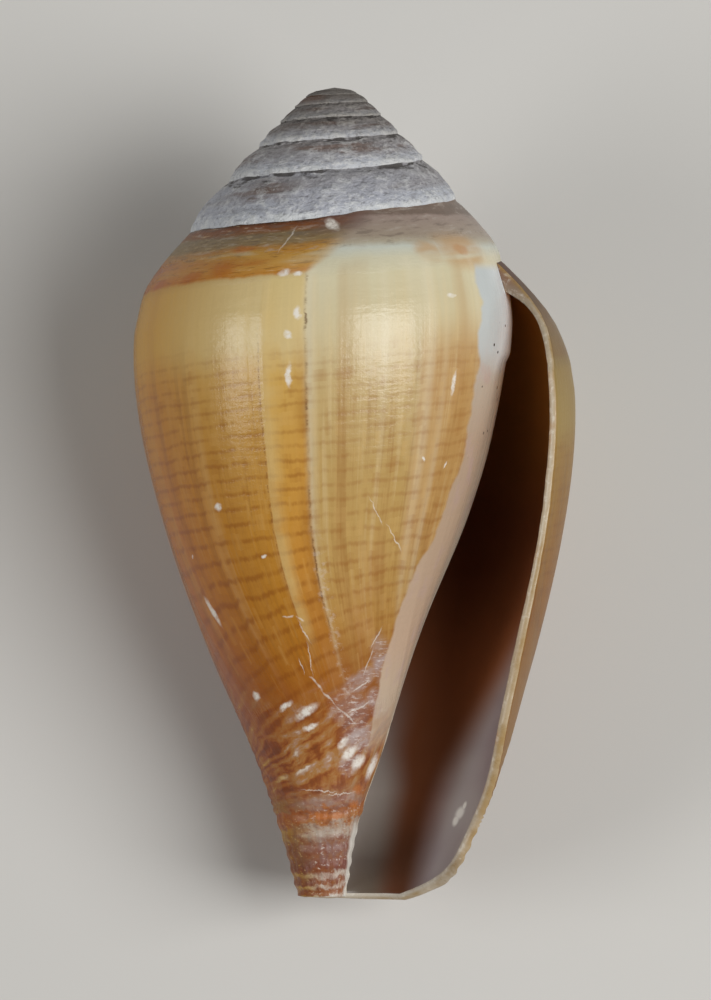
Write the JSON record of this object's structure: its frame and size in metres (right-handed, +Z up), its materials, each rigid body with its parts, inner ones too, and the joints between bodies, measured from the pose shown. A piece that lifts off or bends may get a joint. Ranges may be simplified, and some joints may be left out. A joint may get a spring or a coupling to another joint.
{
  "type": "cone shell",
  "caption": "Cone-shaped sea snail shell with a stepped spire, a tapering glossy body whorl and a long open aperture, lying on its back.",
  "frame": {"origin": "centre of the bounding box in X and Y, on the surface that the shell lies on", "axes": "+Z up, with the aperture on top; +Y towards the spire, which is tilted up a little; +X towards the outer lip"},
  "size_m": [0.0206, 0.0374, 0.0192],
  "materials": {
    "shell": "glossy ochre shell, matt and grey on the spire"
  },
  "bodies": {
    "root": {"shell": "shell"}
  },
  "joints": []
}
